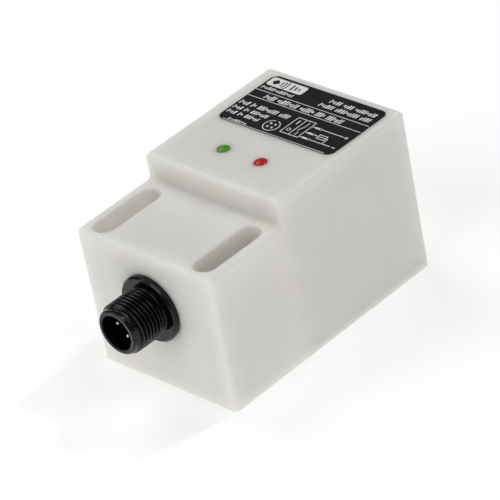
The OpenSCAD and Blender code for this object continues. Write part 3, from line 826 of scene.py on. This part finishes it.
def mouth_points():
    """The chamfered front end, down to where the coding rib starts."""
    return [(ROOT_R, SHELL_END - 0.34 * MM), (ROOT_R - 0.06 * MM, SHELL_END - 0.26 * MM),
            (ROOT_R - 0.26 * MM, SHELL_END - 0.05 * MM), (ROOT_R - 0.34 * MM, SHELL_END),
            (SOCKET_R + 0.2 * MM, SHELL_END), (SOCKET_R + 0.04 * MM, SHELL_END - 0.08 * MM),
            (SOCKET_R, SHELL_END - 0.3 * MM), (SOCKET_R, KEY_TOP)]


def shell_rows():
    """Rows of (radius, distance out) for each column, from the spigot's back round to its bore."""
    rows = level_rows(back_points()) + thread_rows() + level_rows(mouth_points())
    rows += [keyed(KEY_TOP - KEY_STEP), keyed(CARRIER_FACE + KEY_STEP)]
    return rows + level_rows([(SOCKET_R, CARRIER_FACE), (SOCKET_R, 0), (SPIGOT_BORE_R, 0)])


def keyed(out):
    """A ring of the socket's wall with the coding rib standing out of it."""
    middle = round(COLUMNS * KEY_COLUMN_SHARE)
    return [(KEY_R if abs(column - middle) <= 1 else SOCKET_R, out) for column in range(COLUMNS)]


def thread_rows():
    """Rows that climb one pitch in a turn, so a row's last column meets the row a turn further."""
    end = THREAD_START + THREAD_TURNS * PITCH
    rows = []
    for row in range((THREAD_TURNS + 1) * SAMPLES + 1):
        ring = []
        for column in range(COLUMNS):
            out = THREAD_START + PITCH * (row / SAMPLES - 1 + column / COLUMNS)
            out = min(max(out, THREAD_START), end)
            fade = ramp((out - THREAD_START) / (0.8 * PITCH)) * ramp((end - out) / (0.9 * PITCH))
            ring.append((ROOT_R + (THREAD_R - ROOT_R) * fade * thread_height(row / SAMPLES % 1), out))
        rows.append(ring)
    return rows


def build_shell():
    """Joins the rows into one closed skin. In the thread each row runs on into the row a turn further."""
    rows = shell_rows()
    first = len(back_points())
    last = first + (THREAD_TURNS + 1) * SAMPLES
    bm = bmesh.new()
    grid = []
    for ring in rows:
        spots = []
        for column, (radius, out) in enumerate(ring):
            a = math.tau * column / COLUMNS
            offset = Vector((radius * math.cos(a), -out, radius * math.sin(a)))
            spots.append(bm.verts.new(CONNECTOR_SEAT + offset))
        grid.append(spots)
    for i in range(len(grid)):
        j = (i + 1) % len(grid)
        in_thread = first <= i < last
        for column in range(COLUMNS):
            lower, upper, beside = grid[i], grid[j], column + 1
            lower_next, upper_next = lower, upper
            if beside == COLUMNS:
                beside = 0
                if in_thread:
                    lower_next, upper_next = grid[min(i + SAMPLES, last)], grid[min(j + SAMPLES, last)]
            corners = (lower[column], lower_next[beside], upper_next[beside], upper[column])
            different = tuple(dict.fromkeys(corners))
            if len(different) > 2:
                bm.faces.new(different)
    bmesh.ops.remove_doubles(bm, verts=bm.verts, dist=1e-7)
    bmesh.ops.dissolve_degenerate(bm, edges=bm.edges, dist=1e-8)
    add_piece("connector_body", bm, MATERIALS["connector_plastic"],
              ["connector_shell"])


# ------------------------------------------------------------ CAD nodes that keep their shape

KEPT = {
    "connector_seal": "seal_rubber",
    "lock_nut": "nut_metal",
    "contact_carrier": "insert_plastic",
    "contact_pin_1": "contact_metal",
    "contact_pin_2": "contact_metal",
    "contact_pin_3": "contact_metal",
    "contact_pin_4": "contact_metal",
    "wire_brown": "wire_brown",
    "wire_white": "wire_white",
    "wire_blue": "wire_blue",
    "wire_black": "wire_black",
    "circuit_board": "board_laminate",
    "led_holder": "holder_plastic",
    "sensor_chip": "chip_epoxy",
    "voltage_regulator": "chip_epoxy",
    "output_transistors": "chip_epoxy",
    "protection_diodes": "chip_epoxy",
    "buffer_capacitor": "tantalum_epoxy",
    "ceramic_capacitors": "chip_ceramic",
    "resistors": "resistor_ceramic",
    "coil_carrier": "carrier_plastic",
    "ferrite_core": "ferrite",
    "coil_bobbin": "bobbin_plastic",
    "coil_winding": "copper_wire",
    "coil_leads": "copper_wire",
    "potting_resin": "potting_resin",
}


def finish_kept_nodes():
    for name, slot in KEPT.items():
        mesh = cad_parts[name].data
        mesh.materials.clear()
        mesh.materials.append(MATERIALS[slot])


# ------------------------------------------------------------ floor, light and camera

CAMERA_AZIMUTH = math.radians(49.33)
CAMERA_ELEVATION = math.radians(32.76)
CAMERA_ROLL = math.radians(-11.39)
CAMERA_DISTANCE = 0.7603
CAMERA_LENS = 253.25
BODY_MIDDLE = (HOUSING_LOW + HOUSING_HIGH) / 2
CAMERA_AIM = BODY_MIDDLE + Vector((0.1, -1.9, -2.7)) * MM


def add_camera():
    """A long lens looking down on the connector's corner, tilted a little to one side."""
    tilt = Matrix.Rotation(-CAMERA_ELEVATION, 3, "X")
    forward = Matrix.Rotation(CAMERA_AZIMUTH, 3, "Z") @ tilt @ Vector((0, 1, 0))
    level_right = forward.cross(Vector((0, 0, 1))).normalized()
    level_up = level_right.cross(forward)
    right = level_right * math.cos(CAMERA_ROLL) + level_up * math.sin(CAMERA_ROLL)
    up = right.cross(forward)
    data = bpy.data.cameras.new("camera")
    data.lens = CAMERA_LENS
    data.clip_start = 0.01
    data.clip_end = 20
    camera = bpy.data.objects.new("camera", data)
    turn = Matrix((right, up, -forward)).transposed().to_4x4()
    camera.matrix_world = Matrix.Translation(CAMERA_AIM - forward * CAMERA_DISTANCE) @ turn
    bpy.context.scene.collection.objects.link(camera)
    bpy.context.scene.camera = camera


def add_floor():
    """A wide, flat, nearly white table."""
    look = Look("floor_paper", Emission_Color=(1, 1, 1, 1), Emission_Strength=0.34)
    cloud = look.spread(look.noise(0.2), 0, 1)
    look.colour(look.blend(cloud, linear(243, 243, 243), linear(245, 245, 245)))
    look.roughness(look.noise(0.1), 0.75, 0.85)
    bm = bmesh.new()
    bmesh.ops.create_grid(bm, x_segments=4, y_segments=4, size=4)
    mesh = bpy.data.meshes.new("floor")
    bm.to_mesh(mesh)
    bm.free()
    mesh.materials.append(look.material)
    floor = bpy.data.objects.new("floor", mesh)
    floor.location.z = HOUSING_LOW.z
    bpy.context.scene.collection.objects.link(floor)


def add_soft_box(name, place, size, power):
    """A square area light aimed at the middle of the body."""
    data = bpy.data.lights.new(name, "AREA")
    data.size = size
    data.energy = power
    light = bpy.data.objects.new(name, data)
    light.location = place
    light.rotation_euler = (BODY_MIDDLE - Vector(place)).to_track_quat("-Z", "Y").to_euler()
    bpy.context.scene.collection.objects.link(light)


SOFT_BOXES = (
    ("front", (0, -1.1, 1.0), 0.8, 4.5),
    ("front_left", (-0.9, -1.2, 0.6), 0.8, 3.0),
    ("left", (-0.8, 0.1, 1.2), 0.7, 4.6),
    ("right", (0.8, 0.1, 1.2), 0.7, 4.0),
    ("rim", (0.2, 0.8, 1.2), 0.12, 2.4),
)
WORLD_STRENGTH = 0.15


def add_world():
    world = bpy.data.worlds.new("studio")
    world.use_nodes = True
    background = world.node_tree.nodes["Background"]
    background.inputs["Color"].default_value = (1, 1, 1, 1)
    background.inputs["Strength"].default_value = WORLD_STRENGTH
    bpy.context.scene.world = world


def set_stage():
    add_camera()
    add_floor()
    add_world()
    for name, place, size, power in SOFT_BOXES:
        add_soft_box(name, place, size, power)
    bpy.context.scene.view_settings.view_transform = "Standard"


build_housing()
build_cover()
for lamp in ("led_green", "led_red"):
    build_lamp(lamp)
build_label()
build_shell()
finish_kept_nodes()
set_stage()
